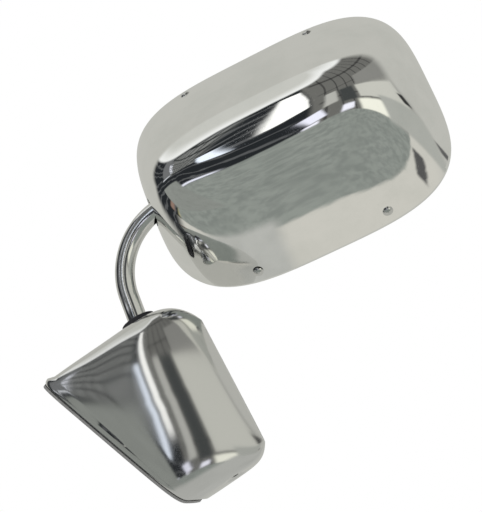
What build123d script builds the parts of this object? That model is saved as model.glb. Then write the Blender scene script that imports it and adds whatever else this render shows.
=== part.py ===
"""Below-eyeline pickup door mirror: chromed arm on a door base, with a swivelling mirror head.

Frame, in mm: +Z up, +X outboard from the door, -Y towards the front of the vehicle. The origin is
the centre of the three door holes on the face of the base gasket that meets the door.
Each node is written to parts/NODE.step in this one frame.
"""

import math
import os

from build123d import *

# ---- driving dimensions -------------------------------------------------------------------

# door face
DOOR_TILT = 30.0  # lean of the door face from vertical, degrees
FACE_LENGTH = 147.8  # base footprint along the door
GASKET_T = 2.0
GASKET_INSET = 0.9  # the pad is that much smaller than the cover all round
PLATE_T = 3.0
DOOR_HOLE_R = 3.3
DOOR_HOLE_PCD = 60.0
DOOR_HOLE_COUNT = 3

# base cover
COVER_HALF_DEPTH = 39.0
COVER_T = 1.2
COVER_RIDGE_X = 30.0  # outboard of this the cover tapers to its nose
COVER_TAPER = 3.0
DOOR_ROUND = 4.0  # how much narrower the cover is at the door than at its widest
DOOR_ROUND_END = 0.3  # station where that narrowing starts
COVER_SCREW_X = 75.3
COVER_SCREW_SINK = 1.07755  # outer end of the screw above the cover's underside
COVER_SCREW_R = 2.5

# arm
ARM_X = 46.5  # swing axis
TUBE_R = 7.95
TUBE_BORE_R = 6.35
BEND_R = 57.0
BEND_START_Z = 105.5
PIVOT_Z = BEND_START_Z + BEND_R
TUBE_BOTTOM_Z = -22.0
TUBE_END_X = 116.5

# base bearings
BUSH_WALL = 2.0
BUSH_FLANGE = 3.0
ARM_HOLE_GAP = 3.05  # between the tube and the cover's hole, filled by the grommet
COLLAR_WALL = 4.05
UPPER_EAR_Z = 40.0
LOWER_EAR_Z = -20.0
EAR_T = 3.0
LUG_Z = -42.0
RUNNING = 0.05  # radial clearance of a running fit

# head
HEAD_X = 207.0
HEAD_Y = 14.0  # plane of the rivets
HEAD_Z = 165.5
HEAD_HALF_W = 123.3
HEAD_HALF_H = 90.3
LIP_START = 8.0  # lip, behind the rivet plane
LIP_END = 13.0
PROFILE_KNEE = 62.0
PROFILE_SLOPE = 1.55
INBOARD_POWER = 8.0
OUTBOARD_POWER = 4.8
INBOARD_CORNER = 3.9
INBOARD_LOWER_CORNER = 3.3
OUTBOARD_CORNER = 3.6
SHELL_T = 1.2
RIVET_CENTRE_X = 204.3
RIVET_HALF_X = 56.0
RIVET_R = 2.4
RIVET_HEAD_R = 4.2
RIVET_TAIL_R = 3.2
TAB_T = 2.0
RIVET_GRIP = SHELL_T + TAB_T + 0.6  # from the shell's surface to the formed tail

# glass
GLASS_INSET = 5.7
GLASS_T = 3.0
BACKING_T = 1.5
GLASS_FACE = 11.0  # visible face, behind the rivet plane

# head pivots
TURN_X = 129.5
PIN_R = 4.0
STUD_R = 5.0
YOKE_X = 148.5  # outboard face of the yoke
WALL_X = 151.5
WALL_T = 3.0

INWARD = Vector(math.cos(math.radians(DOOR_TILT)), 0, math.sin(math.radians(DOOR_TILT)))
DOWN_DOOR = Vector(math.sin(math.radians(DOOR_TILT)), 0, -math.cos(math.radians(DOOR_TILT)))


def door_plane(distance):
    """Plane parallel to the door, a distance in from it; local X runs along Y, local Y up the door."""
    return Plane(origin=INWARD * distance, x_dir=(0, -1, 0), z_dir=(INWARD.X, 0, INWARD.Z))


def rod(x, y, z0, z1, radius):
    """Solid upright cylinder between two heights."""
    return Pos(x, y, z0) * Cylinder(radius, z1 - z0, align=(Align.CENTER, Align.CENTER, Align.MIN))


def ring(x, y, z0, z1, outer, inner):
    """Upright ring between two heights."""
    return rod(x, y, z0, z1, outer) - rod(x, y, z0 - 1, z1 + 1, inner)


def hex_nut(x, y, z0, z1, across_flats, bore):
    """Upright hexagon nut."""
    profile = RegularPolygon(across_flats / math.sqrt(3), 6)
    body = Pos(x, y, z0) * extrude(profile, z1 - z0)
    return body - rod(x, y, z0 - 1, z1 + 1, bore)


def along_x(shape, x, y, z):
    """Turn an upright shape made at the origin so that its axis points outboard."""
    return Pos(x, y, z) * Rot(0, 90, 0) * shape


def box_between(x0, x1, y0, y1, z0, z1):
    """Box given by its limits."""
    return Pos(x0, y0, z0) * Box(x1 - x0, y1 - y0, z1 - z0, align=(Align.MIN, Align.MIN, Align.MIN))


def wound_spring(z0, z1, coil_r, wire_r, turns):
    """Compression spring on the Z axis."""
    height = z1 - z0 - 2 * wire_r
    path = Helix(pitch=height / turns, height=height, radius=coil_r)
    start = path @ 0
    section = Plane(origin=start, z_dir=path % 0) * Circle(wire_r)
    return Pos(0, 0, z0 + wire_r) * sweep(section, path, is_frenet=True)


# ---- shape of the head --------------------------------------------------------------------

FULL_DROP = PROFILE_KNEE * PROFILE_SLOPE * (math.sqrt(1 + (HEAD_HALF_H / PROFILE_KNEE) ** 2) - 1)


def section_half_height(drop):
    """Half height of the head where its surface lies a drop behind its foremost point."""
    ratio = 1 + drop / (PROFILE_KNEE * PROFILE_SLOPE)
    return PROFILE_KNEE * math.sqrt(ratio * ratio - 1)


def section_half_width(drop, outboard):
    """Half width of the head at the same drop, towards one of its ends."""
    power = OUTBOARD_POWER if outboard else INBOARD_POWER
    return HEAD_HALF_W * (drop / FULL_DROP) ** (1 / power)


def corner_power(drop, outboard, lower):
    """How square the head's corners are at the same drop: 2 is an ellipse."""
    inboard = INBOARD_LOWER_CORNER if lower else INBOARD_CORNER
    full = OUTBOARD_CORNER if outboard else inboard
    return 2 + (full - 2) * min(drop / FULL_DROP, 1.0) ** 0.5


def surface_drop(x, z):
    """Drop of the head's surface at a point given from the head's centre, by halving an interval."""
    outboard = x > 0
    low, high = 1e-9, 4 * FULL_DROP
    for _ in range(60):
        middle = (low + high) / 2
        power = corner_power(middle, outboard, z < 0)
        level = abs(x / section_half_width(middle, outboard)) ** power
        level += abs(z / section_half_height(middle)) ** power
        if level > 1:
            low = middle
        else:
            high = middle
    return low


def section_tilt(drop):
    """Sine and cosine of the surface's tilt at the top of the section at a drop."""
    step = 0.01 * FULL_DROP
    rise = section_half_height(drop + step) - section_half_height(drop)
    return step / math.hypot(step, rise), rise / math.hypot(step, rise)


def section_outline(drop, inset, count=64):
    """Points of the head's outline at a drop, from its centre, moved in by an inset."""
    half_height = section_half_height(drop)
    points = []
    for i in range(count):
        angle = 2 * math.pi * (i + 0.5) / count
        c, s = math.cos(angle), math.sin(angle)
        half_width = section_half_width(drop, c > 0)
        power = corner_power(drop, c > 0, s < 0)
        x = math.copysign(half_width * abs(c) ** (2 / power), c)
        z = math.copysign(half_height * abs(s) ** (2 / power), s)
        nx = math.copysign(abs(x / half_width) ** (power - 1) / half_width, x)
        nz = math.copysign(abs(z / half_height) ** (power - 1) / half_height, z)
        size = math.hypot(nx, nz)
        points.append((x - inset * nx / size, z - inset * nz / size))
    return points


def section_face(drop, inset, y):
    """Flat face of the head's outline at a drop, placed at a depth from the rivet plane."""
    points = [Vector(HEAD_X + x, HEAD_Y + y, HEAD_Z + z) for x, z in section_outline(drop, inset)]
    return make_face(Spline(*points, periodic=True))


def rim_prism(inset, y0, y1):
    """Prism of the head's outline at the rim between two depths from the rivet plane."""
    return extrude(section_face(FULL_DROP, inset, y0), y1 - y0, dir=(0, 1, 0))


def head_body(inset, back):
    """Solid bounded by the head's surface moved in by an inset, ending at a depth."""
    sections = []
    for share in (0.002, 0.02, 0.07, 0.15, 0.27, 0.42, 0.58, 0.76, 0.9, 1.0):
        drop = share * FULL_DROP
        sine, cosine = section_tilt(drop)
        y = LIP_START - FULL_DROP + drop + inset * cosine
        sections.append(section_face(drop, inset * (1.0 if share == 1.0 else sine), y))
    rim_y = LIP_START + inset * section_tilt(FULL_DROP)[1]
    return loft(sections) + rim_prism(inset, rim_y, back)


# ---- shape of the base cover --------------------------------------------------------------


def cover_top(s):
    """Top of the cover at a station from the door (0) to the nose (1)."""
    rise = 28 * s - 21 * max(s, 0.0) ** 9
    return Vector(-FACE_LENGTH / 2 * DOWN_DOOR.X + 131.5 * s, 0, -FACE_LENGTH / 2 * DOWN_DOOR.Z + rise)


def cover_bottom(s):
    """Bottom of the cover at the same station."""
    rise = 10.8 * s + 2 * s ** 10
    return Vector(FACE_LENGTH / 2 * DOWN_DOOR.X + 70 * s, 0, FACE_LENGTH / 2 * DOWN_DOOR.Z + rise)


def cover_half_depth(s, x, nose_x):
    """Half depth of the cover at a station, at a point that far outboard."""
    reach = max(x - COVER_RIDGE_X, 0.0) / (nose_x - COVER_RIDGE_X)
    taper = (1 - 0.985 * min(reach, 1.0) ** COVER_TAPER) ** 0.8
    return COVER_HALF_DEPTH * taper - DOOR_ROUND * max(1 - s / DOOR_ROUND_END, 0.0) ** 2


def cover_section(s, inset, count=40):
    """Closed section of the cover at a station."""
    top, bottom = cover_top(s), cover_bottom(s)
    up = (top - bottom).normalized()
    middle = (top + bottom) * 0.5
    half_height = (top - bottom).length / 2 * (1 - 0.14 * max(s, 0.0) ** 12) - inset
    square = max(1 - s, 0.0) ** 3
    points = []
    for i in range(count):
        angle = 2 * math.pi * (i + 0.5) / count
        c, sn = math.cos(angle), math.sin(angle)
        power = 2 / (3.4 + 4.0 * square if sn > 0 else 4.4 + 1.1 * square)
        share = math.copysign(abs(sn) ** power, sn)
        place = middle + up * half_height * share
        nose_x = (cover_top(1).X * (1 + share) + cover_bottom(1).X * (1 - share)) / 2
        half_depth = cover_half_depth(s, place.X, nose_x) - inset
        points.append(place + Vector(0, math.copysign(half_depth * abs(c) ** power, c), 0))
    return make_face(Spline(*points, periodic=True))


def cover_body(inset):
    """Solid of the cover moved in by an inset, from the gasket to its nose."""
    stations = [0.1, 0.28, 0.46, 0.62, 0.75, 0.84, 0.91, 0.96, 0.985]
    sections = [Pos(*(INWARD * (GASKET_T - max(inset, 0.0)))) * cover_section(0.0, inset)]
    for s in stations:
        sections.append(cover_section(min(s - inset / 105 * s, 0.998), inset))
    return loft(sections)


def door_half_space(distance):
    """Everything outboard of a plane parallel to the door."""
    return door_plane(distance) * Box(400, 400, 300, align=(Align.CENTER, Align.CENTER, Align.MIN))


def cover_underside(x):
    """Height of the cover's underside that far outboard, by halving an interval."""
    low, high = 0.0, 1.0
    for _ in range(50):
        middle = (low + high) / 2
        if cover_bottom(middle).X < x:
            low = middle
        else:
            high = middle
    return cover_bottom(low).Z


# ---- base pieces --------------------------------------------------------------------------


def door_holes(z0, z1):
    """The three door holes as rods across the door plane."""
    holes = Part()
    for i in range(DOOR_HOLE_COUNT):
        turn = math.radians(90 + 360 * i / DOOR_HOLE_COUNT)
        x, y = DOOR_HOLE_PCD / 2 * math.cos(turn), DOOR_HOLE_PCD / 2 * math.sin(turn)
        hole = Pos(x, y, z0) * Cylinder(DOOR_HOLE_R, z1 - z0, align=(Align.CENTER, Align.CENTER, Align.MIN))
        holes += door_plane(0) * hole
    return holes


def make_base_cover():
    """Chromed die-cast cover with the arm hole on top and the screw hole below."""
    shell = cover_body(0) - cover_body(COVER_T)
    shell -= rod(ARM_X, 0, 40, 110, TUBE_R + ARM_HOLE_GAP)
    shell -= rod(COVER_SCREW_X, 0, LUG_Z - 60, LUG_Z - 3, COVER_SCREW_R + 0.1)
    return shell


def make_base_gasket():
    """Rubber pad between the base and the door."""
    body = extrude(cover_section(0.0, GASKET_INSET), GASKET_T, dir=tuple(INWARD))
    return body - door_holes(-5, 12)


def make_base_bracket():
    """Steel bracket: door plate, two bearing ears and the lug that holds the cover."""
    plate_low, plate_high = GASKET_T, GASKET_T + PLATE_T
    plate = door_plane(plate_low) * extrude(RectangleRounded(66, 104, 9), PLATE_T)
    plate -= door_holes(-5, 12)
    part = plate
    for z in (UPPER_EAR_Z, LOWER_EAR_Z):
        ear = box_between(-60, ARM_X, -15, 15, z, z + EAR_T) + rod(ARM_X, 0, z, z + EAR_T, 15)
        part += ear & door_half_space(plate_high - 0.5)
    lug = box_between(0, COVER_SCREW_X, -15, 15, LUG_Z, LUG_Z + 2.5)
    lug += rod(COVER_SCREW_X, 0, LUG_Z, LUG_Z + 2.5, 9)
    part += lug & door_half_space(plate_high - 0.5)
    part -= rod(ARM_X, 0, -60, LUG_Z + 5, 11)
    part -= rod(COVER_SCREW_X, 0, -60, LUG_Z + 5, COVER_SCREW_R + 0.1)
    part -= rod(ARM_X, 0, LOWER_EAR_Z - 1, UPPER_EAR_Z + EAR_T + 1, TUBE_R + RUNNING + BUSH_WALL)
    return part & (cover_body(COVER_T + 0.6))


def make_bushing(ear_z, flange_up):
    """Flanged bearing pressed into an ear."""
    bore = TUBE_R + RUNNING
    outer = bore + BUSH_WALL
    body = ring(ARM_X, 0, ear_z, ear_z + EAR_T, outer, bore)
    if flange_up:
        flange = ring(ARM_X, 0, ear_z + EAR_T, ear_z + EAR_T + 1.5, outer + BUSH_FLANGE, bore)
    else:
        flange = ring(ARM_X, 0, ear_z - 1.5, ear_z, outer + BUSH_FLANGE, bore)
    return body + flange


def make_arm_grommet():
    """Rubber grommet where the arm leaves the cover."""
    hole = TUBE_R + ARM_HOLE_GAP
    disc = rod(ARM_X, 0, 70, 100, hole + 2.8) & (cover_body(-3.6) - cover_body(0))
    neck = rod(ARM_X, 0, 50, 100, hole) & (cover_body(-3.6) - cover_body(COVER_T + 1.8))
    under = rod(ARM_X, 0, 50, 100, hole + 2.2) & (cover_body(COVER_T) - cover_body(COVER_T + 1.8))
    return (disc + neck + under) - rod(ARM_X, 0, 40, 120, TUBE_R + 0.3)


def make_cover_screw():
    """Socket screw that holds the cover to the bracket lug."""
    end = cover_underside(COVER_SCREW_X) + COVER_SCREW_SINK
    screw = rod(COVER_SCREW_X, 0, end, LUG_Z + 7.5, COVER_SCREW_R)
    socket = Pos(COVER_SCREW_X, 0, end - 0.4) * extrude(RegularPolygon(1.5, 6), 3.3)
    return screw - socket


# ---- arm pieces ---------------------------------------------------------------------------


def arm_path():
    """Centre line of the arm: upright, a quarter bend, then level."""
    bend_centre = Vector(ARM_X + BEND_R, 0, BEND_START_Z)
    diagonal = bend_centre + Vector(-BEND_R, 0, BEND_R) * math.sqrt(0.5)
    upright = Line((ARM_X, 0, TUBE_BOTTOM_Z), (ARM_X, 0, BEND_START_Z))
    bend = ThreePointArc((ARM_X, 0, BEND_START_Z), diagonal, (ARM_X + BEND_R, 0, PIVOT_Z))
    level = Line((ARM_X + BEND_R, 0, PIVOT_Z), (TUBE_END_X, 0, PIVOT_Z))
    return upright + bend + level


def make_arm_tube():
    """Chromed steel tube."""
    start = Plane(origin=(ARM_X, 0, TUBE_BOTTOM_Z), z_dir=(0, 0, 1))
    outer = sweep(start * Circle(TUBE_R), arm_path())
    inner = sweep(start * Circle(TUBE_BORE_R), arm_path())
    return outer - inner


def make_arm_stem():
    """Threaded stem pressed into the lower end of the tube."""
    return rod(ARM_X, 0, -46, 6, STUD_R) + rod(ARM_X, 0, TUBE_BOTTOM_Z, 6, TUBE_BORE_R)


def make_arm_eye():
    """Plug and flat eye at the upper end of the tube."""
    upright = (Align.CENTER, Align.CENTER, Align.MIN)
    plug = along_x(Cylinder(TUBE_BORE_R, 14, align=upright), TUBE_END_X - 12, 0, PIVOT_Z)
    neck = box_between(TUBE_END_X, TURN_X, -7, 7, PIVOT_Z - 4, PIVOT_Z + 4)
    eye = rod(TURN_X, 0, PIVOT_Z - 4, PIVOT_Z + 4, 9.5)
    body = plug + neck + eye
    return body - rod(TURN_X, 0, PIVOT_Z - 10, PIVOT_Z + 10, PIN_R + RUNNING)


def make_swing_spring():
    """Spring that loads the swing joint."""
    return Pos(ARM_X, 0, 0) * wound_spring(-38.0, -24.0, STUD_R + 2.4, 1.1, 4.5)


# ---- knuckle pieces -----------------------------------------------------------------------


def make_knuckle_yoke():
    """Forged yoke round the arm's eye, with the tilt stud."""
    part = Part()
    for low in (4.15, -9.15):
        cheek = box_between(TURN_X, YOKE_X, -9, 9, PIVOT_Z + low, PIVOT_Z + low + 5)
        part += cheek + rod(TURN_X, 0, PIVOT_Z + low, PIVOT_Z + low + 5, 9)
    part += box_between(YOKE_X - 6.5, YOKE_X, -9, 9, PIVOT_Z - 9.15, PIVOT_Z + 9.15)
    part += along_x(Cylinder(STUD_R, 36, align=(Align.CENTER, Align.CENTER, Align.MIN)), YOKE_X - 1, 0, PIVOT_Z)
    return part - rod(TURN_X, 0, PIVOT_Z - 20, PIVOT_Z + 20, PIN_R)


def make_turn_pin():
    """Upright pin of the turn joint, with a round head."""
    shank = rod(TURN_X, 0, PIVOT_Z - 17, PIVOT_Z + 10.65, PIN_R)
    head = rod(TURN_X, 0, PIVOT_Z + 10.65, PIVOT_Z + 15, 7.0)
    return shank + fillet(head.edges().group_by(Axis.Z)[-1], 1.8)


# ---- head pieces --------------------------------------------------------------------------


def rivet_frame(side_x, side_z):
    """Plane on the head's surface at a rivet, its Z axis pointing out of the surface."""
    x, drop = RIVET_CENTRE_X + side_x * RIVET_HALF_X - HEAD_X, FULL_DROP - LIP_START
    low, high = 40.0, HEAD_HALF_H
    for _ in range(50):
        middle = (low + high) / 2
        if surface_drop(x, middle) < drop:
            low = middle
        else:
            high = middle
    z = side_z * low
    dx = (surface_drop(x + 0.05, z) - surface_drop(x - 0.05, z)) / 0.1
    dz = (surface_drop(x, z + 0.05) - surface_drop(x, z - 0.05)) / 0.1
    normal = Vector(dx, -1, dz).normalized()
    origin = Vector(HEAD_X + x, HEAD_Y, HEAD_Z + z)
    return Plane(origin=origin, x_dir=Vector(1, 0, 0).cross(normal).cross(normal) * -1, z_dir=normal)


def rivet_places():
    """The four rivet planes."""
    return [rivet_frame(sx, sz) for sx in (-1, 1) for sz in (-1, 1)]


def make_head_shell(outer, cavity):
    """Chromed head shell with the slot for the arm."""
    shell = outer - cavity
    slot = Pos(60, 0, 0) * extrude(Plane.YZ * Pos(0, PIVOT_Z - 3.1) * SlotOverall(36, 23.8), 42)
    shell -= slot
    for place in rivet_places():
        shell -= place * Cylinder(RIVET_R, 20)
    return shell


def make_head_bracket(cavity, deeper):
    """Stamped frame riveted inside the shell, with the wall that carries the tilt stud."""
    y0, y1 = 16.5, 18.5
    reach = RIVET_HALF_X + 10
    plate = box_between(RIVET_CENTRE_X - reach, RIVET_CENTRE_X + reach, y0, y1, HEAD_Z - 24, HEAD_Z + 24)
    for side in (-1, 1):
        x = RIVET_CENTRE_X + side * RIVET_HALF_X
        plate += box_between(x - 10, x + 10, y0, y1, HEAD_Z - HEAD_HALF_H, HEAD_Z + HEAD_HALF_H)
    plate = plate & cavity
    wall = box_between(WALL_X, WALL_X + WALL_T, -13, y1, PIVOT_Z - 18, PIVOT_Z + 18)
    wall -= along_x(Cylinder(STUD_R + RUNNING, 20), WALL_X, 0, PIVOT_Z)
    part = plate + wall
    for place in rivet_places():
        tab = place * Box(20, 17, 12)
        part += tab & (cavity - deeper) & box_between(60, 340, -20, y1, HEAD_Z - 160, HEAD_Z + 160)
    for place in rivet_places():
        part -= place * Cylinder(RIVET_R, 20)
        tail_room = Cylinder(RIVET_TAIL_R + 0.3, 12, align=(Align.CENTER, Align.CENTER, Align.MAX))
        part -= place * Pos(0, 0, -RIVET_GRIP) * tail_room
    return part


def make_shell_rivets():
    """Four domed rivets, each its own solid."""
    ball = 5.4
    sink = math.sqrt(ball ** 2 - RIVET_HEAD_R ** 2)
    upright = (Align.CENTER, Align.CENTER, Align.MIN)
    dome = Pos(0, 0, -sink) * Sphere(ball) & Box(20, 20, 10, align=upright)
    shank = Pos(0, 0, -RIVET_GRIP) * Cylinder(RIVET_R, RIVET_GRIP, align=upright)
    tail = Pos(0, 0, -RIVET_GRIP - 1.3) * Cylinder(RIVET_TAIL_R, 1.3, align=upright)
    rivet = dome + shank + tail
    return Compound(children=[place * rivet.solid() for place in rivet_places()])


def make_glass_gasket():
    """Rubber channel that holds the glass in the lip."""
    back, front = GLASS_FACE - GLASS_T - BACKING_T - 1, GLASS_FACE + 1
    outer = rim_prism(SHELL_T, LIP_START + 1.0, front) + rim_prism(GLASS_INSET - 1.5, back, front)
    part = outer - rim_prism(GLASS_INSET, back + 1, front - 1)
    return part - rim_prism(GLASS_INSET + 2.3, back - 1, front + 1)


def make_knuckle_washer(x0, x1, outer):
    """Plain washer on the tilt stud."""
    washer = ring(0, 0, 0, x1 - x0, outer, STUD_R + 0.02)
    return along_x(washer, x0, 0, PIVOT_Z)


# ---- write the nodes ----------------------------------------------------------------------


def build():
    """All nodes by name."""
    cover = make_base_cover()
    outer = head_body(0, LIP_END)
    cavity = head_body(SHELL_T, LIP_END + 5)
    deeper = head_body(SHELL_T + TAB_T, LIP_END + 5)
    shell = make_head_shell(outer, cavity)
    bracket = make_head_bracket(cavity, deeper)
    wall_back = WALL_X + WALL_T
    nodes = {
        "base_gasket": make_base_gasket(),
        "base_bracket": make_base_bracket(),
        "base_cover": cover,
        "arm_grommet": make_arm_grommet(),
        "cover_screw": make_cover_screw(),
        "cover_screw_nut": hex_nut(COVER_SCREW_X, 0, LUG_Z + 2.5, LUG_Z + 6.5, 8.0, COVER_SCREW_R),
        "upper_bushing": make_bushing(UPPER_EAR_Z, True),
        "lower_bushing": make_bushing(LOWER_EAR_Z, False),
        "arm_tube": make_arm_tube(),
        "arm_stem": make_arm_stem(),
        "arm_eye": make_arm_eye(),
        "swing_collar": ring(ARM_X, 0, UPPER_EAR_Z + EAR_T + 1.55, UPPER_EAR_Z + EAR_T + 9, TUBE_R + COLLAR_WALL, TUBE_R),
        "swing_washer": ring(ARM_X, 0, -24.0, -22.0, 11.5, STUD_R),
        "swing_spring": make_swing_spring(),
        "swing_cup": ring(ARM_X, 0, -39.5, -38.0, 10.0, STUD_R),
        "swing_nut": hex_nut(ARM_X, 0, -45.5, -39.5, 15.0, STUD_R),
        "knuckle_yoke": make_knuckle_yoke(),
        "turn_pin": make_turn_pin(),
        "turn_washer": ring(TURN_X, 0, PIVOT_Z + 9.15, PIVOT_Z + 10.65, 7.0, PIN_R),
        "turn_nut": hex_nut(TURN_X, 0, PIVOT_Z - 15.5, PIVOT_Z - 9.15, 13.0, PIN_R),
        "tilt_washer_inner": make_knuckle_washer(YOKE_X, WALL_X - 0.05, 9.0),
        "tilt_washer_outer": make_knuckle_washer(wall_back + 0.05, wall_back + 1.6, 9.0),
        "tilt_spring": along_x(wound_spring(0, 14.0, STUD_R + 2.0, 1.1, 4.5), wall_back + 1.6, 0, PIVOT_Z),
        "tilt_cup": make_knuckle_washer(wall_back + 15.6, wall_back + 17.1, 9.5),
        "tilt_nut": along_x(hex_nut(0, 0, 0, 6.5, 15.0, STUD_R), wall_back + 17.1, 0, PIVOT_Z),
        "head_shell": shell,
        "head_bracket": bracket,
        "shell_rivets": make_shell_rivets(),
        "glass_gasket": make_glass_gasket(),
        "mirror_glass": rim_prism(GLASS_INSET, GLASS_FACE - GLASS_T, GLASS_FACE),
        "glass_backing": rim_prism(GLASS_INSET, GLASS_FACE - GLASS_T - BACKING_T, GLASS_FACE - GLASS_T),
    }
    return nodes


def main():
    """Write one STEP file per node."""
    os.makedirs("parts", exist_ok=True)
    for name, shape in build().items():
        export_step(shape, "parts/" + name + ".step")
        print(name, len(shape.solids()), round(shape.volume, 1))


if __name__ == "__main__":
    main()
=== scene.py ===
"""Looks of a below-eyeline pickup door mirror, built on its CAD frame.

Frame, in metres: +Z up, +X outboard from the door, -Y towards the front of the vehicle. The
chromed skins are modelled here; the pieces under them keep their CAD meshes and get a finish.
"""

import logging
import math
from dataclasses import dataclass, field
from enum import Enum
from typing import Any, Callable, ClassVar, Sequence

import bmesh
import bpy
from mathutils import Matrix, Vector


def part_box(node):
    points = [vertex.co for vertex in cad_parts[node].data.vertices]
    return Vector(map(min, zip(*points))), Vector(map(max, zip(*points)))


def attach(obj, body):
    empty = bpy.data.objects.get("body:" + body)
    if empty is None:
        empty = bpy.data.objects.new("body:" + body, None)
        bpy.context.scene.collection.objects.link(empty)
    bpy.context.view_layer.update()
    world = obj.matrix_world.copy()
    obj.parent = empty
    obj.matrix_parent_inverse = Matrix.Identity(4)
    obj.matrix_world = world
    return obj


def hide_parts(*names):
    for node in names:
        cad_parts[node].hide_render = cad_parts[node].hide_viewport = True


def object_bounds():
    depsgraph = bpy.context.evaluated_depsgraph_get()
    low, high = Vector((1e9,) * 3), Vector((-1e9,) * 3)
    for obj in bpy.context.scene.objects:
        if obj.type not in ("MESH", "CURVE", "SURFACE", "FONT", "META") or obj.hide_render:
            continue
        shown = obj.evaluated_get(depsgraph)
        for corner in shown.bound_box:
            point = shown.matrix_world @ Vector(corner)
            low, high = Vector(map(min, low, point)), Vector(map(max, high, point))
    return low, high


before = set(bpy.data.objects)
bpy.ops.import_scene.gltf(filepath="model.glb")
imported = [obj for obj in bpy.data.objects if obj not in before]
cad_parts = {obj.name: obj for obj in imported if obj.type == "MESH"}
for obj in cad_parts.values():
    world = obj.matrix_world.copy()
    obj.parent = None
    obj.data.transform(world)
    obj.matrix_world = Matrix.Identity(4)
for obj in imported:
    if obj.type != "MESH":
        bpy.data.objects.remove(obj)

CAD_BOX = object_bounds()
MM = 0.001
CRISP_ANGLE = 35.0
MERGE = 1e-7
RING_SPREAD = 0.7  # 1 spaces a ring's vertices by length, 0 by angle
Colour = tuple[float, float, float, float]
Pair = tuple[float, float]
Band = tuple[float, float, float]
Ring = Sequence[Vector]
Inputs = dict[str, Any]
Number = "float | Value"
Socket = bpy.types.NodeSocket
Piece = bpy.types.Object
BMesh = bmesh.types.BMesh
BMEdge = bmesh.types.BMEdge
BMVert = bmesh.types.BMVert

logging.basicConfig(level=logging.INFO, format="%(message)s")
log = logging.getLogger("mirror")


class Slot(Enum):
    """The record's material slots."""

    BLACK_RUBBER = "black_rubber"
    ZINC_STEEL = "zinc_steel"
    COVER_CHROME = "cover_chrome"
    TUBE_CHROME = "tube_chrome"
    SHELL_CHROME = "shell_chrome"
    STEEL_SCREW = "steel_screw"
    BRONZE_BUSH = "bronze_bush"
    SPRING_STEEL = "spring_steel"
    RIVET_STEEL = "rivet_steel"
    MIRROR_GLASS = "mirror_glass"


class Body(Enum):
    """The moving bodies of the mirror."""

    BASE = "base"
    ARM = "arm"
    KNUCKLE = "knuckle"
    HEAD = "head"


# ---- shader building ----


class Value:
    """A number that varies over a surface: a shader socket that does arithmetic."""

    def __init__(self, recipe: "Recipe", socket: Socket) -> None:
        """Wrap a socket.

        Args:
            recipe: the node tree the socket belongs to.
            socket: the output socket that carries the number.
        """
        self.recipe = recipe
        self.socket = socket

    def _math(self, operation: str, *terms: Number) -> "Value":
        """Add one Math node.

        Args:
            operation: the Math node's operation.
            terms: its operands, in order.

        Returns:
            The result.
        """
        inputs = dict(enumerate(terms))
        made = self.recipe.node("ShaderNodeMath", {"operation": operation}, inputs)
        return Value(self.recipe, made.outputs[0])

    def __add__(self, other: Number) -> "Value":
        """Sum."""
        return self._math("ADD", self, other)

    def __sub__(self, other: Number) -> "Value":
        """Difference."""
        return self._math("SUBTRACT", self, other)

    def __rsub__(self, other: float) -> "Value":
        """Difference, number first."""
        return self._math("SUBTRACT", other, self)

    def __mul__(self, other: Number) -> "Value":
        """Product."""
        return self._math("MULTIPLY", self, other)

    __radd__, __rmul__ = __add__, __mul__

    def __abs__(self) -> "Value":
        """Size without sign."""
        return self._math("ABSOLUTE", self)

    def sine(self) -> "Value":
        """Sine of an angle in radians."""
        return self._math("SINE", self)

    def arcsine_degrees(self) -> "Value":
        """Angle in degrees whose sine this is."""
        return self._math("ARCSINE", self) * (180 / math.pi)

    def arctan_degrees(self, across: "Value") -> "Value":
        """Angle in degrees of the direction (across, this)."""
        return self._math("ARCTAN2", self, across) * (180 / math.pi)

    def step(self, low: Number, high: Number) -> "Value":
        """Smooth step.

        Args:
            low: where the step is 0.
            high: where the step is 1.

        Returns:
            0 before low, 1 past high, smooth between.
        """
        settings = {"interpolation_type": "SMOOTHSTEP"}
        inputs = {"Value": self, "From Min": low, "From Max": high}
        made = self.recipe.node("ShaderNodeMapRange", settings, inputs)
        return Value(self.recipe, made.outputs[0])

    def band(self, low: Number, high: Number, soft: float) -> "Value":
        """1 between two limits and 0 outside them.

        Args:
            low: lower limit.
            high: upper limit.
            soft: half width of each soft edge.

        Returns:
            The mask.
        """
        return self.step(low - soft, low + soft) * (1 - self.step(high - soft, high + soft))


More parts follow.
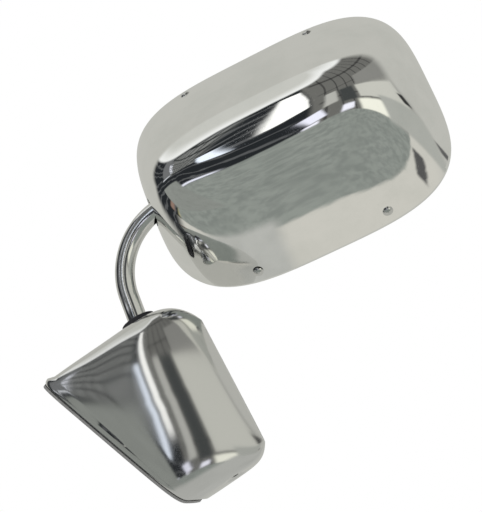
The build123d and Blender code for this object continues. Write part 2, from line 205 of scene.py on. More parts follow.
class Recipe:
    """A node tree being written, for a material or for the world."""

    MIX_FACTOR: ClassVar[int] = 0
    MIX_A: ClassVar[int] = 6
    MIX_B: ClassVar[int] = 7
    MIX_RESULT: ClassVar[int] = 2

    def __init__(self, owner: "bpy.types.Material | bpy.types.World") -> None:
        """Empty the owner's node tree and start on it.

        Args:
            owner: the material or world.
        """
        owner.use_nodes = True
        self.tree = owner.node_tree
        self.tree.nodes.clear()

    def node(
        self,
        kind: str,
        settings: "dict[str, Any] | None" = None,
        inputs: "dict[Any, Any] | None" = None,
    ) -> bpy.types.Node:
        """Add one node.

        Args:
            kind: node type.
            settings: attributes set before the inputs.
            inputs: values or links, by socket name or number.

        Returns:
            The node.
        """
        made = self.tree.nodes.new(kind)
        for name, value in (settings or {}).items():
            setattr(made, name, value)
        for key, value in (inputs or {}).items():
            if isinstance(value, Value):
                self.tree.links.new(value.socket, made.inputs[key])
            elif isinstance(value, Socket):
                self.tree.links.new(value, made.inputs[key])
            else:
                made.inputs[key].default_value = value
        return made

    def place(
        self,
        scale: float,
        turn: "Sequence[float]" = (0, 0, 0),
        stretch: "Sequence[float]" = (1, 1, 1),
    ) -> Socket:
        """Object coordinates for a pattern.

        Args:
            scale: repeats per metre.
            turn: rotation of the pattern, radians.
            stretch: factor on the scale along each axis.

        Returns:
            The vector socket.
        """
        here = self.node("ShaderNodeTexCoord").outputs["Object"]
        inputs = {
            "Vector": here,
            "Rotation": tuple(turn),
            "Scale": tuple(scale * s for s in stretch),
        }
        return self.node("ShaderNodeMapping", None, inputs).outputs["Vector"]

    def noise(
        self,
        where: Socket,
        detail: float,
        scale: float = 1.0,
        rough: float = 0.55,
    ) -> Value:
        """Cloudy noise from 0 to 1.

        Args:
            where: vector to read it at.
            detail: octaves.
            scale: further scale.
            rough: share kept by each finer octave.

        Returns:
            The noise.
        """
        inputs = {"Vector": where, "Scale": scale, "Detail": detail, "Roughness": rough}
        made = self.node("ShaderNodeTexNoise", None, inputs)
        return Value(self, made.outputs[0])

    def speckle(self, scale: float) -> Value:
        """Distance to the nearest of many scattered points.

        Args:
            scale: points per metre.

        Returns:
            The distance, 1 being the mean spacing.
        """
        inputs = {"Vector": self.place(scale), "Scale": 1.0}
        made = self.node("ShaderNodeTexVoronoi", None, inputs)
        return Value(self, made.outputs["Distance"])

    def blend(self, factor: Number, first: Any, second: Any) -> Socket:
        """Mix two colours.

        Args:
            factor: share of the second.
            first: colour or colour socket.
            second: colour or colour socket.

        Returns:
            The colour socket.
        """
        inputs = {self.MIX_FACTOR: factor, self.MIX_A: first, self.MIX_B: second}
        made = self.node("ShaderNodeMix", {"data_type": "RGBA"}, inputs)
        return made.outputs[self.MIX_RESULT]

    def bump(self, height: Value, strength: float, depth: float) -> Socket:
        """Bump from a height.

        Args:
            height: 0 to 1.
            strength: share of the bump kept.
            depth: height of the bump, metres.

        Returns:
            The normal socket.
        """
        inputs = {"Height": height, "Strength": strength, "Distance": depth}
        return self.node("ShaderNodeBump", None, inputs).outputs["Normal"]

    def finish_surface(self, shader: Socket) -> None:
        """Join a shader to the material's output."""
        self.node("ShaderNodeOutputMaterial", None, {"Surface": shader})


# ---- finishes ----


@dataclass(frozen=True)
class Finish:
    """A surface finish.

    Attributes:
        name: material name.
        colour: main colour, linear.
        second: colour of the stains and clouds in it.
    """

    name: str
    colour: Colour
    second: Colour

    def inputs(self, recipe: Recipe) -> Inputs:
        """The shader's inputs; each kind of finish writes its own.

        Args:
            recipe: node tree to add to.

        Returns:
            Values and links by socket name.
        """
        raise NotImplementedError

    def material(self) -> bpy.types.Material:
        """The finish as a material, made on first use.

        Returns:
            The material.
        """
        known = bpy.data.materials.get(self.name)
        if known is not None:
            return known
        made = bpy.data.materials.new(self.name)
        recipe = Recipe(made)
        shader = recipe.node("ShaderNodeBsdfPrincipled", None, self.inputs(recipe))
        recipe.finish_surface(shader.outputs["BSDF"])
        return made

    def put_on(self, *pieces: Piece) -> None:
        """Give pieces this finish alone."""
        for piece in pieces:
            piece.data.materials.clear()
            piece.data.materials.append(self.material())


@dataclass(frozen=True)
class Chrome(Finish):
    """Bright plating with wipe haze, fine pits and a slight waviness under it.

    Attributes:
        polish: lowest roughness.
        haze: roughness added where the plating is wiped or dusty.
        wave: height of the waviness, metres.
        wave_scale: waves per metre.
        clouds: stain clouds per metre.
        wipes: wipe marks per metre.
        grit: pits per metre.
        pit_edge: distances from a pit's middle where it is deepest and where it ends.
        grain: finest grains per metre.
    """

    polish: float = 0.035
    haze: float = 0.07
    wave: float = 0.00005
    wave_scale: float = 45.0
    clouds: float = 26.0
    wipes: float = 30.0
    grit: float = 420.0
    pit_edge: Pair = (0.05, 0.12)
    grain: float = 900.0

    def inputs(self, recipe: Recipe) -> Inputs:
        """Shader inputs of the plating.

        Args:
            recipe: node tree to add to.

        Returns:
            Values and links by socket name.
        """
        cloud = recipe.noise(recipe.place(self.clouds), 5.0, rough=0.62)
        wipe = recipe.noise(recipe.place(self.wipes, (0.3, 0.2, 0.5), (0.25, 1, 1.8)), 4.0)
        pits = 1 - recipe.speckle(self.grit).step(*self.pit_edge)
        mottle = cloud.step(0.38, 0.72)
        haze = mottle * wipe.step(0.35, 0.7)
        waves = recipe.noise(recipe.place(self.wave_scale, (0.1, 0.0, 0.4), (0.5, 1, 1.6)), 2.0)
        fine = recipe.noise(recipe.place(self.grain), 2.0)
        height = waves + fine * 0.02 - pits * 0.04
        return {
            "Base Color": recipe.blend(mottle * 0.6 + pits * 0.3, self.colour, self.second),
            "Metallic": 1.0,
            "Roughness": self.polish + haze * self.haze + pits * 0.1,
            "Normal": recipe.bump(height, 1.0, self.wave),
        }


@dataclass(frozen=True)
class Plated(Finish):
    """Zinc or passivated steel: crystalline patches and a dull sheen.

    Attributes:
        rough: middle roughness.
        grain: patches per metre.
        metal: metallic share.
        stains: stains per metre.
        brushing: brush marks per metre.
        relief: height of the surface's relief, metres.
    """

    rough: float = 0.34
    grain: float = 260.0
    metal: float = 1.0
    stains: float = 70.0
    brushing: float = 500.0
    relief: float = 0.00004

    def inputs(self, recipe: Recipe) -> Inputs:
        """Shader inputs of the plated steel.

        Args:
            recipe: node tree to add to.

        Returns:
            Values and links by socket name.
        """
        patches = recipe.speckle(self.grain)
        stain = recipe.noise(recipe.place(self.stains), 5.0, rough=0.65)
        brushed = recipe.noise(recipe.place(self.brushing, (0, 0, 0.2), (0.08, 1, 1)), 2.0)
        tone = patches * 0.5 + stain.step(0.35, 0.75) * 0.5
        return {
            "Base Color": recipe.blend(tone, self.colour, self.second),
            "Metallic": self.metal,
            "Roughness": self.rough - 0.08 + stain * 0.2 + brushed * 0.06,
            "Normal": recipe.bump(brushed + patches * 0.5, 0.5, self.relief),
        }


@dataclass(frozen=True)
class Rubber(Finish):
    """Moulded rubber: fine pebble, dust in the low spots, a dull shine.

    Attributes:
        rough: middle roughness.
        pebbles: pebbles per metre.
        dusting: dust patches per metre.
        relief: height of the pebble, metres.
    """

    rough: float = 0.55
    pebbles: float = 1500.0
    dusting: float = 110.0
    relief: float = 0.00008

    def inputs(self, recipe: Recipe) -> Inputs:
        """Shader inputs of the rubber.

        Args:
            recipe: node tree to add to.

        Returns:
            Values and links by socket name.
        """
        pebble = recipe.noise(recipe.place(self.pebbles), 2.0)
        dust = recipe.noise(recipe.place(self.dusting), 5.0, rough=0.7)
        return {
            "Base Color": recipe.blend(dust.step(0.45, 0.8) * 0.8, self.colour, self.second),
            "Metallic": 0.0,
            "Roughness": self.rough - 0.1 + dust * 0.25,
            "Normal": recipe.bump(pebble + dust * 0.6, 0.6, self.relief),
        }


@dataclass(frozen=True)
class Silvered(Finish):
    """Second-surface mirror glass: near-perfect reflection with a trace of dust and wipe marks.

    Attributes:
        wipes: wipe marks per metre.
        dusting: specks per metre.
        polish: lowest roughness.
    """

    wipes: float = 22.0
    dusting: float = 260.0
    polish: float = 0.012

    def inputs(self, recipe: Recipe) -> Inputs:
        """Shader inputs of the glass.

        Args:
            recipe: node tree to add to.

        Returns:
            Values and links by socket name.
        """
        wipe = recipe.noise(recipe.place(self.wipes, (0, 0.5, 0), (0.3, 1, 1.6)), 5.0, rough=0.6)
        dust = 1 - recipe.speckle(self.dusting).step(0.04, 0.09)
        film = wipe.step(0.45, 0.8)
        return {
            "Base Color": recipe.blend(film * 0.5 + dust * 0.4, self.colour, self.second),
            "Metallic": 1.0,
            "Roughness": self.polish + film * 0.03 + dust * 0.2,
            "Coat Weight": 0.6,
            "Coat Roughness": 0.02,
        }


SHELL_CHROME = Chrome("head_chrome", (0.93, 0.93, 0.915, 1), (0.83, 0.84, 0.82, 1))
COVER_CHROME = Chrome(
    "cover_chrome", (0.93, 0.93, 0.92, 1), (0.82, 0.83, 0.81, 1), wave=0.00004, wave_scale=60.0
)
TUBE_CHROME = Chrome(
    "tube_chrome", (0.9, 0.9, 0.89, 1), (0.76, 0.77, 0.76, 1), polish=0.05, haze=0.1, wave=0.00002
)
ZINC = Plated("zinc_plated_steel", (0.62, 0.6, 0.53, 1), (0.36, 0.36, 0.34, 1))
SPRING = Plated(
    "oiled_spring_steel", (0.2, 0.195, 0.19, 1), (0.09, 0.085, 0.08, 1), rough=0.38, grain=600.0
)
SCREW = Plated(
    "dark_screw_steel", (0.22, 0.22, 0.22, 1), (0.1, 0.1, 0.1, 1), rough=0.3, grain=500.0
)
RIVET = Plated(
    "rivet_steel", (0.9, 0.9, 0.88, 1), (0.7, 0.7, 0.67, 1), rough=0.2, grain=700.0, metal=0.25
)
BRONZE = Plated(
    "sintered_bronze", (0.5, 0.33, 0.17, 1), (0.26, 0.17, 0.09, 1), rough=0.42, grain=1400.0
)
BLACK_RUBBER = Rubber("black_rubber", (0.014, 0.014, 0.015, 1), (0.045, 0.044, 0.042, 1))
PAD_RUBBER = Rubber("pad_rubber", (0.17, 0.17, 0.165, 1), (0.28, 0.28, 0.27, 1), rough=0.65)
BACK_PAINT = Rubber("glass_back_paint", (0.02, 0.022, 0.024, 1), (0.05, 0.05, 0.05, 1), rough=0.4)
GLASS = Silvered("mirror_glass", (0.95, 0.96, 0.955, 1), (0.82, 0.83, 0.83, 1))


# ---- mesh building ----


class Skin:
    """A closed surface built ring by ring."""

    def __init__(self, first: Ring) -> None:
        """Start with one ring.

        Args:
            first: places of the ring's vertices, in order round it.
        """
        self.mesh = bmesh.new()
        made = bmesh.ops.create_circle(self.mesh, cap_ends=False, radius=1.0, segments=len(first))
        self.first = list(made["verts"])
        self.last = self.first
        self._put(self.first, first)

    @staticmethod
    def _put(ring: "Sequence[BMVert]", places: Ring) -> None:
        """Move a ring's vertices to their places."""
        for vert, place in zip(ring, places):
            vert.co = place

    def grow(self, places: Ring) -> None:
        """Extrude the last ring to the next one.

        Args:
            places: places of the new ring's vertices, in the same order.
        """
        count = len(self.last)
        pairs = [(self.last[i], self.last[(i + 1) % count]) for i in range(count)]
        edges = [self.mesh.edges.get(pair) for pair in pairs]
        made = bmesh.ops.extrude_edge_only(self.mesh, edges=edges)["geom"]
        fresh = {part for part in made if isinstance(part, BMVert)}
        ring = []
        for vert in self.last:
            ends = (edge.other_vert(vert) for edge in vert.link_edges)
            ring.append(next(end for end in ends if end in fresh))
        self._put(ring, places)
        self.last = ring

    def close(self, ring: "Sequence[BMVert]", start: int) -> None:
        """Bridge a ring to itself, from one half to the other.

        Args:
            ring: the ring's vertices, in order.
            start: number of the vertex that starts the first half.
        """
        count = len(ring)
        turned = [ring[(start + i) % count] for i in range(count)]
        half = count // 2
        edges = []
        for side in (turned[:half], turned[half:]):
            edges += [self.mesh.edges.get(pair) for pair in zip(side, side[1:])]
        bmesh.ops.bridge_loops(self.mesh, edges=edges)

    def result(self, name: str) -> Piece:
        """The skin as a smooth object.

        Args:
            name: object name.

        Returns:
            The object, linked to the scene.
        """
        bmesh.ops.recalc_face_normals(self.mesh, faces=self.mesh.faces[:])
        return as_object(self.mesh, name)


def as_object(mesh: BMesh, name: str) -> Piece:
    """Turn a bmesh into a smooth object and free it.

    Args:
        mesh: the bmesh, in the frame's metres.
        name: object and mesh name.

    Returns:
        The object, linked to the scene.
    """
    data = bpy.data.meshes.new(name)
    mesh.to_mesh(data)
    mesh.free()
    data.shade_smooth()
    made = bpy.data.objects.new(name, data)
    bpy.context.scene.collection.objects.link(made)
    return made


def bored(piece: Piece, cutters: "Sequence[Piece]") -> None:
    """Cut other objects out of a piece for good, and remove them.

    Args:
        piece: the piece that is cut.
        cutters: closed meshes that are taken away from it.
    """
    for cutter in cutters:
        cut = piece.modifiers.new("cut", "BOOLEAN")
        cut.operation = "DIFFERENCE"
        cut.solver = "EXACT"
        cut.object = cutter
    bpy.context.view_layer.update()
    seen = piece.evaluated_get(bpy.context.evaluated_depsgraph_get())
    data = bpy.data.meshes.new_from_object(seen)
    piece.modifiers.clear()
    old, piece.data = piece.data, data
    bpy.data.meshes.remove(old)
    for cutter in cutters:
        bpy.data.objects.remove(cutter)


def sharpen(piece: Piece) -> None:
    """Shade smooth, with edges steeper than CRISP_ANGLE kept crisp."""
    piece.data.shade_smooth()
    piece.data.set_sharp_from_angle(angle=math.radians(CRISP_ANGLE))


def round_cutter(
    radius: float, low: Vector, height: float, stretch: float = 0.0
) -> Piece:
    """Cylinder or stadium prism that stands on a point, used to cut holes.

    Args:
        radius: end radius.
        low: centre of its lower end.
        height: height along Z.
        stretch: straight length along Y between the two half rounds.

    Returns:
        The cutter.
    """
    mesh = bmesh.new()
    bmesh.ops.create_cone(
        mesh, cap_ends=True, segments=96, radius1=radius, radius2=radius, depth=height
    )
    for vert in mesh.verts:
        if abs(vert.co.y) > MERGE:
            vert.co.y += math.copysign(stretch / 2, vert.co.y)
    bmesh.ops.translate(mesh, verts=mesh.verts[:], vec=low + Vector((0, 0, height / 2)))
    return as_object(mesh, "cutter")


def even_angles(outline: Callable[[float], Pair], count: int) -> "list[float]":
    """Angles that spread a ring's vertices along an outline.

    Args:
        outline: point of the outline at an angle.
        count: number of vertices, a multiple of 4.

    Returns:
        The angles, with no vertex on either axis.
    """
    fine = 8000  # steps that the outline is measured in
    points = [outline(2 * math.pi * i / fine) for i in range(fine + 1)]
    lengths = [0.0]
    for a, b in zip(points, points[1:]):
        lengths.append(lengths[-1] + math.dist(a, b))
    angles, k = [], 0
    for i in range(count):
        target = lengths[-1] * (i + 0.5) / count
        while lengths[k + 1] < target:
            k += 1
        part = (target - lengths[k]) / (lengths[k + 1] - lengths[k])
        by_length = 2 * math.pi * (k + part) / fine
        by_angle = 2 * math.pi * (i + 0.5) / count
        angles.append(RING_SPREAD * by_length + (1 - RING_SPREAD) * by_angle)
    return angles


def power_sign(value: float, power: float) -> float:
    """A number raised to a power with its sign kept."""
    return math.copysign(abs(value) ** power, value)


# ---- sub-assemblies ----


@dataclass
class SubAssembly:
    """Pieces that are dressed together.

    Attributes:
        dressed: names of the finished pieces, in order.
    """

    dressed: "list[str]" = field(default_factory=list)

    def keep(self, finish: Finish, *nodes: str) -> None:
        """Give carried-over CAD nodes their finish.

        Args:
            finish: the finish.
            nodes: CAD node names.
        """
        for node in nodes:
            finish.put_on(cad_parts[node])
            self.dressed.append(node)

    def add(self, piece: Piece, finish: Finish, body: Body, slot: Slot, *nodes: str) -> None:
        """Dress a new piece and put it on its body in place of CAD nodes.

        Args:
            piece: the new piece.
            finish: its finish.
            body: the body that it rides on.
            slot: the record's material slot; not used.
            nodes: CAD nodes it stands for.
        """
        finish.put_on(piece)
        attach(piece, body.value)
        if nodes:
            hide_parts(*nodes)
        self.dressed.append(piece.name)


@dataclass
class Head(SubAssembly):
    """The mirror head: chromed shell, its frame, rivets and glass.

    Attributes:
        half_width: half width at the rim.
        half_height: half height at the rim.
        knee: height at which the front's crest turns into its slope.
        slope: run of the slope per unit of height, past the knee.
        powers: bluntness of the inboard and outboard ends, seen from above.
        corners: squareness of the rim's inboard and outboard corners.
        lower_corner: squareness of the lower inboard corner.
        wall: thickness of the shell.
        lip: depth of the straight lip.
        roll: radius of the lip's rolled edge.
        set_back: how far the crest is drawn back, so that it stays in the CAD box.
        lip_rings: shares of the straight lip at which it has a ring.
        inner_start: how far past the lip's start the inner skin begins.
        slot_height: height of the slot for the arm.
        slot_length: length of the slot along Y.
        slot_drop: how far the slot's middle lies below the arm's eye.
        slot_reach: where the slot's cut starts and how far it goes, along X.
        segments: vertices round each ring.
        rings: rings from the crest to the rim.
    """

    half_width: float = 123.3 * MM
    half_height: float = 90.3 * MM
    knee: float = 62.0 * MM
    slope: float = 1.55
    powers: Pair = (8.0, 4.8)
    corners: Pair = (3.9, 3.6)
    lower_corner: float = 3.3
    wall: float = 1.2 * MM
    lip: float = 5.0 * MM
    roll: float = 0.6 * MM
    set_back: float = 0.15 * MM
    lip_rings: "tuple[float, ...]" = (0.12, 0.4, 0.7)
    inner_start: float = 1.5 * MM
    slot_height: float = 23.8 * MM
    slot_length: float = 36.0 * MM
    slot_drop: float = 3.1 * MM
    slot_reach: Pair = (60.0 * MM, 42.0 * MM)
    segments: int = 320
    rings: int = 72

    def __post_init__(self) -> None:
        """Take the head's place from its CAD node."""
        low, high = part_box("head_shell")
        self.centre = (low + high) / 2
        self.rim_y = high.y
        run = self.knee * self.slope
        self.full = run * (math.sqrt(1 + (self.half_height / self.knee) ** 2) - 1)
        self.angles = even_angles(lambda a: self._outline_point(a, self.full), self.segments)

    def _half_height_at(self, drop: float) -> float:
        """Half height of the section at a drop behind the crest."""
        ratio = 1 + drop / (self.knee * self.slope)
        return self.knee * math.sqrt(ratio * ratio - 1)

    def _drop_at(self, height: float) -> float:
        """Drop of the section with a half height."""
        return self.knee * self.slope * (math.sqrt(1 + (height / self.knee) ** 2) - 1)

    def _ends_at(self, angle: float, drop: float) -> Pair:
        """Half width and corner power of the section, on the side of an angle."""
        outboard = math.cos(angle) > 0
        half_width = self.half_width * (drop / self.full) ** (1 / self.powers[outboard])
        lower_inboard = not outboard and math.sin(angle) < 0
        square = self.lower_corner if lower_inboard else self.corners[outboard]
        corner = 2 + (square - 2) * min(drop / self.full, 1.0) ** 0.5
        return half_width, corner

    def _outline_point(self, angle: float, drop: float, inset: float = 0.0) -> Pair:
        """Point of a section's outline, from the head's centre.

        Args:
            angle: place round the section, radians.
            drop: depth of the section behind the crest.
            inset: distance that the outline is moved in.

        Returns:
            X and Z.
        """
        half_width, corner = self._ends_at(angle, drop)
        half_height = self._half_height_at(drop)
        x = half_width * power_sign(math.cos(angle), 2 / corner)
        z = half_height * power_sign(math.sin(angle), 2 / corner)
        if inset == 0.0:
            return x, z
        nx = power_sign(x / half_width, corner - 1) / half_width
        nz = power_sign(z / half_height, corner - 1) / half_height
        size = math.hypot(nx, nz)
        return x - inset * nx / size, z - inset * nz / size

    def _ring(self, drop: float, inset: float, y: float) -> Ring:
        """Ring of places at a drop, moved in by an inset and set at a depth."""
        places = []
        for angle in self.angles:
            x, z = self._outline_point(angle, drop, inset)
            places.append(Vector((self.centre.x + x, y, self.centre.z + z)))
        return places

    def _tilt(self, drop: float) -> Pair:
        """Sine and cosine of the surface's tilt at the top of a section."""
        step = 0.01 * self.full
        rise = self._half_height_at(drop + step) - self._half_height_at(drop)
        size = math.hypot(step, rise)
        return step / size, rise / size

    def _front_rings(self, inset: float, count: int) -> "list[list[Vector]]":
        """Rings of the front from its crest to the rim, moved in by an inset."""
        crest_y = self.rim_y - self.lip - self.full
        rings = []
        for i in range(1, count + 1):
            drop = self._drop_at(self.half_height * i / count)
            sine, cosine = self._tilt(drop)
            y = crest_y + drop + inset * cosine + self.set_back * (1 - drop / self.full)
            rings.append(self._ring(drop, inset * sine, y))
        return rings

    def make_shell(self) -> Piece:
        """Chromed shell with a rolled lip and the slot for the arm.

        Returns:
            The shell.
        """
        outer = self._front_rings(0.0, self.rings)
        inner = self._front_rings(self.wall, self.rings // 2)
        skin = Skin(outer[0])
        for ring in outer[1:]:
            skin.grow(ring)
        lip_start = self.rim_y - self.lip
        for share in self.lip_rings:
            skin.grow(self._ring(self.full, 0.0, lip_start + share * (self.lip - self.roll)))
        for turn in range(0, 181, 30):
            inset = self.roll * (1 - math.cos(math.radians(turn)))
            y = self.rim_y - self.roll * (1 - math.sin(math.radians(turn)))
            skin.grow(self._ring(self.full, inset, y))
        skin.grow(self._ring(self.full, self.wall, lip_start + self.inner_start))
        for ring in reversed(inner[:-1]):
            skin.grow(ring)
        skin.close(skin.first, 0)
        skin.close(skin.last, 0)
        shell = skin.result("head_shell_skin")
        arm_low, arm_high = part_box("arm_eye")
        slot_z = (arm_low.z + arm_high.z) / 2 - self.slot_drop
        start, length = self.slot_reach
        straight = self.slot_length - self.slot_height
        cutter = round_cutter(self.slot_height / 2, Vector(), length, straight)
        turned = Matrix.Rotation(math.radians(90), 4, "Y")
        cutter.data.transform(Matrix.Translation((start, 0, slot_z)) @ turned)
        bored(shell, [cutter])
        sharpen(shell)
        return shell

    def build(self) -> None:
        """Build the shell and dress the pieces of the head."""
        self.add(self.make_shell(), SHELL_CHROME, Body.HEAD, Slot.SHELL_CHROME, "head_shell")
        self.keep(RIVET, "shell_rivets")
        self.keep(ZINC, "head_bracket")
        self.keep(BLACK_RUBBER, "glass_gasket")
        self.keep(GLASS, "mirror_glass")
        self.keep(BACK_PAINT, "glass_backing")


@dataclass
class BaseMount(SubAssembly):
    """The door base: pad, bracket, bearings and the chromed cover with its grommet and screw.

    Attributes:
        half_length: half length of the footprint along the door.
        half_depth: half depth where the cover is widest.
        ridge_x: outboard of this the cover tapers to its nose.
        taper: power of the taper.
        door_round: how much narrower the cover is at the door.
        door_round_end: station where that narrowing starts.
        top_run, bottom_run: reach of the cover's top and bottom along X.
        top_rise, top_fall, top_power: the top rises evenly and falls off at its nose.
        bottom_rise, bottom_lift, bottom_power: the same for the bottom, which lifts.
        nose_round: share that the nose loses in height.
        wall: thickness of the cover.
        tilt: lean of the door, degrees.
        pad: thickness of the pad.
        edge_round: depth and length of the rounding at the door edge.
        arm_hole: radius of the hole for the arm.
        screw_hole: radius of the hole for the screw.
        dimple: radius and depth of the dimple round the screw.
        segments: vertices round each ring.
        rings: rings from the door to the nose.
        blunt_top, blunt_bottom: bluntness of the corners at the nose, and what the door adds.
        blunt_power: how fast that addition dies away from the door.
        nose_power: how late the nose's loss of height sets in.
        taper_end: share of the depth that the taper takes, and how round it ends.
        even_station: station whose outline spreads the vertices of every ring.
        inner_lip: how much further in the inner edge at the door lies.
        arm_cut, screw_cut: lower end and height of the cuts for the two holes.
        first: station of the first ring past the door edge.
        ends: stations where the outer and the inner skin close at the nose.
    """

    half_length: float = 73.9 * MM
    half_depth: float = 39.0 * MM
    ridge_x: float = 30.0 * MM
    taper: float = 3.0
    door_round: float = 4.0 * MM
    door_round_end: float = 0.3
    top_run: float = 131.5 * MM
    top_rise: float = 28.0 * MM
    top_fall: float = 21.0 * MM
    top_power: int = 9
    bottom_run: float = 70.0 * MM
    bottom_rise: float = 10.8 * MM
    bottom_lift: float = 2.0 * MM
    bottom_power: int = 10
    nose_round: float = 0.14
    wall: float = 1.2 * MM
    tilt: float = 30.0
    pad: float = 2.0 * MM
    edge_round: Pair = (2.0 * MM, 4.6 * MM)
    arm_hole: float = 11.0 * MM
    screw_hole: float = 2.6 * MM
    dimple: Pair = (9.0 * MM, 0.9 * MM)
    segments: int = 240
    rings: int = 80
    blunt_top: Pair = (3.4, 4.0)
    blunt_bottom: Pair = (4.4, 1.1)
    blunt_power: int = 3
    nose_power: int = 12
    taper_end: Pair = (0.985, 0.8)
    even_station: float = 0.35
    inner_lip: float = 0.5 * MM
    arm_cut: Pair = (40 * MM, 70 * MM)
    screw_cut: Pair = (-75 * MM, 30 * MM)
    first: float = 0.09
    ends: Pair = (0.996, 0.978)

    def __post_init__(self) -> None:
        """Settle the door's directions and the spread of each ring."""
        lean = math.radians(self.tilt)
        self.inward = Vector((math.cos(lean), 0, math.sin(lean)))
        self.down = Vector((math.sin(lean), 0, -math.cos(lean)))
        self.angles = even_angles(self._even_outline, self.segments)

    def _even_outline(self, angle: float) -> Pair:
        """Point at an angle of the section that spreads the vertices of every ring."""
        return self._local_point(angle, self.even_station, 0.0)

    def _top(self, s: float) -> Vector:
        """Top of the cover at a station from the door, 0, to the nose, 1."""
        rise = self.top_rise * s - self.top_fall * s**self.top_power
        return Vector((self.top_run * s, 0, rise)) - self.half_length * self.down

    def _bottom(self, s: float) -> Vector:
        """Bottom of the cover at a station."""
        rise = self.bottom_rise * s + self.bottom_lift * s**self.bottom_power
        return Vector((self.bottom_run * s, 0, rise)) + self.half_length * self.down

    def _local_point(self, angle: float, s: float, inset: float) -> Pair:
        """Point of a section in its own plane.

        Args:
            angle: place round the section, radians.
            s: station.
            inset: distance that the outline is moved in.

        Returns:
            Depth along Y and rise along the section.
        """
        top, bottom = self._top(s), self._bottom(s)
        kept = 1 - self.nose_round * s**self.nose_power
        half_height = (top - bottom).length / 2 * kept - inset
        at_nose, at_door = self.blunt_top if math.sin(angle) > 0 else self.blunt_bottom
        blunt = at_nose + at_door * (1 - s) ** self.blunt_power
        share = power_sign(math.sin(angle), 2 / blunt)
        x = ((top + bottom) / 2 + (top - bottom).normalized() * half_height * share).x
        nose_x = (self._top(1.0).x * (1 + share) + self._bottom(1.0).x * (1 - share)) / 2
        half_depth = self._half_depth_at(s, x, nose_x) - inset
        return half_depth * power_sign(math.cos(angle), 2 / blunt), half_height * share

    def _half_depth_at(self, s: float, x: float, nose_x: float) -> float:
        """Half depth of the cover at a station, at a point that far outboard."""
        reach = min(max(x - self.ridge_x, 0.0) / (nose_x - self.ridge_x), 1.0)
        share, power = self.taper_end
        taper = (1 - share * reach**self.taper) ** power
        narrowed = self.door_round * max(1 - s / self.door_round_end, 0.0) ** 2
        return self.half_depth * taper - narrowed

    def _ring(self, s: float, inset: float, out: float = 0.0) -> Ring:
        """Ring of places at a station, moved in by an inset and out from the door."""
        top, bottom = self._top(s), self._bottom(s)
        up, middle = (top - bottom).normalized(), (top + bottom) / 2 + self.inward * out
        places = []
        for angle in self.angles:
            y, rise = self._local_point(angle, s, inset)
            places.append(middle + up * rise + Vector((0, y, 0)))
        return places

    def _stations(self, count: int, end: float) -> "list[float]":
        """Stations from the nose back towards the door, closer together at the nose."""
        shares = (math.sin(math.pi / 2 * (1 - i / count)) for i in range(count + 1))
        return [self.first + (end - self.first) * share for share in shares]

    def make_cover(self) -> Piece:
        """Chromed cover with a rounded edge at the door and holes for the arm and the screw.

        Returns:
            The cover.
        """
        outer = self._stations(self.rings, self.ends[0])
        skin = Skin(self._ring(outer[0], 0.0))
        for s in outer[1:]:
            skin.grow(self._ring(s, 0.0))
        for turn in range(0, 91, 15):
            angle = math.radians(turn)
            inset = self.edge_round[0] * (1 - math.cos(angle))
            skin.grow(self._ring(0.0, inset, self.pad + self.edge_round[1] * (1 - math.sin(angle))))
        inner_edge = self.edge_round[0] + self.inner_lip
        skin.grow(self._ring(0.0, inner_edge, self.pad))
        skin.grow(self._ring(0.0, inner_edge, self.pad + self.edge_round[1]))
        for s in reversed(self._stations(self.rings // 2, self.ends[1])):
            skin.grow(self._ring(s, self.wall))
        quarter = 3 * self.segments // 4
        skin.close(skin.first, quarter)
        skin.close(skin.last, quarter)
        arm, screw = self._middle("arm_stem"), self._middle("cover_screw")
        self._press_dimple(skin, screw)
        cover = skin.result("base_cover_skin")
        holes = ((arm, self.arm_hole, self.arm_cut), (screw, self.screw_hole, self.screw_cut))
        cutters = [
            round_cutter(radius, Vector((middle.x, middle.y, low)), height)
            for middle, radius, (low, height) in holes
        ]
        bored(cover, cutters)
        sharpen(cover)
        return cover

    def _press_dimple(self, skin: Skin, screw: Vector) -> None:
        """Sink the cover's underside a little round the screw.

        Args:
            skin: the cover being built.
            screw: middle of the screw.
        """
        radius, depth = self.dimple
        for vert in skin.mesh.verts:
            away = math.hypot(vert.co.x - screw.x, vert.co.y - screw.y)
            if vert.co.z < screw.z and away < radius:
                near = 1 - (away / radius) ** 2
                vert.co.z += depth * (near**2 * (3 - 2 * near))

    @staticmethod
    def _middle(node: str) -> Vector:
        """Middle of a CAD node's box."""
        low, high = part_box(node)
        return (low + high) / 2

    def build(self) -> None:
        """Build the cover and dress the pieces of the base."""
        self.add(self.make_cover(), COVER_CHROME, Body.BASE, Slot.COVER_CHROME, "base_cover")
        self.keep(PAD_RUBBER, "base_gasket")
        self.keep(BLACK_RUBBER, "arm_grommet")
        self.keep(ZINC, "base_bracket", "cover_screw_nut")
        self.keep(SCREW, "cover_screw")
        self.keep(BRONZE, "upper_bushing", "lower_bushing")


